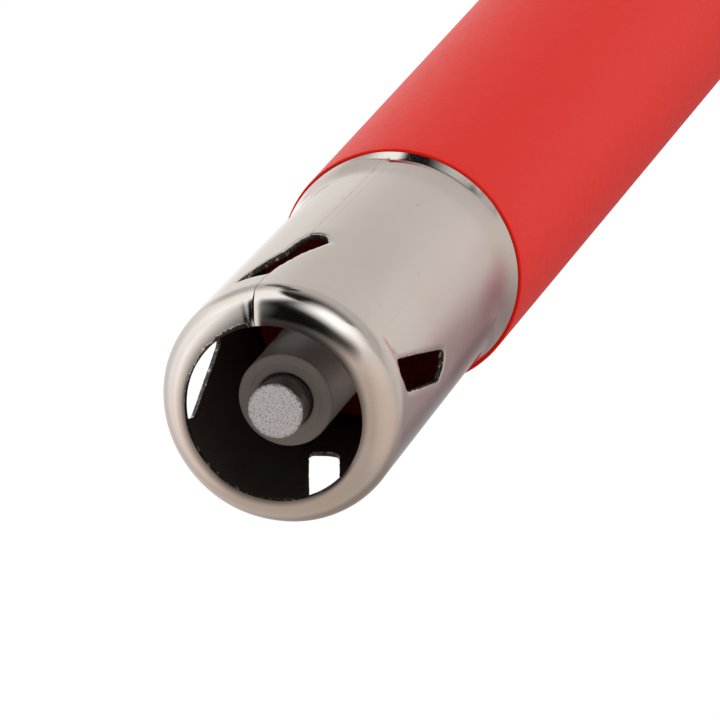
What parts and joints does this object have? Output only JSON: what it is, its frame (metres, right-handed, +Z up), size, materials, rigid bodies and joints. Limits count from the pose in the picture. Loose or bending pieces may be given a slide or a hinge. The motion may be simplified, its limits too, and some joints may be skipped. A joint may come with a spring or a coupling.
{
  "type": "piezo gas stove lighter",
  "caption": "Slim push-type spark lighter: round red barrel, slotted rolled steel nose round an insulated electrode, sprung push button and hang lug at the rear.",
  "frame": {"origin": "on the barrel's axis, half way along the plain red barrel", "axes": "+X along the axis towards the nose; +Z up with the lighter lying on a table; +Y towards the side of the hanging lug"},
  "size_m": [0.187, 0.03, 0.021],
  "materials": {
    "nickelled_steel": "satin nickel plating with fine lengthwise rolling marks",
    "red_plastic": "satin gloss",
    "grey_nylon": "slightly translucent, semi-matt",
    "electrode_steel": "turned, with a pitted end face",
    "brass_strip": "rolled",
    "piezo_ceramic": "ground",
    "clear_sleeve": "moulded",
    "machined_steel": "turned",
    "spring_steel": "drawn wire",
    "black_plastic": "fine moulded texture",
    "white_plastic": "moulded"
  },
  "bodies": {
    "barrel": {"nose_tube": "nickelled_steel", "body_tube": "red_plastic", "insulator": "grey_nylon", "electrode_rod": "electrode_steel", "contact_disc": "brass_strip", "piezo_front": "piezo_ceramic", "centre_shim": "brass_strip", "piezo_rear": "piezo_ceramic", "crystal_sleeve": "clear_sleeve", "anvil": "machined_steel", "guide_tube": "machined_steel", "ground_strip": "brass_strip", "return_spring": "spring_steel", "end_collar": "black_plastic"},
    "plunger": {"thrust_washer": "machined_steel", "push_sleeve": "machined_steel", "spring_seat": "white_plastic", "push_button": "black_plastic", "button_pin": "machined_steel"},
    "striker": {"hammer": "machined_steel", "hammer_pin": "machined_steel", "impact_spring": "spring_steel"}
  },
  "joints": [
    {"name": "plunger_press", "type": "slide", "parent": "barrel", "child": "plunger", "axis": [1, 0, 0], "range_m": [0, 0.01], "stiffness_N_per_m": 400, "springref_m": -0.012, "deforming": ["return_spring", "impact_spring"]},
    {"name": "hammer_strike", "type": "slide", "parent": "barrel", "child": "striker", "axis": [1, 0, 0], "range_m": [0, 0.007], "stiffness_N_per_m": 300, "springref_m": -0.004, "deforming": ["impact_spring"]}
  ]
}
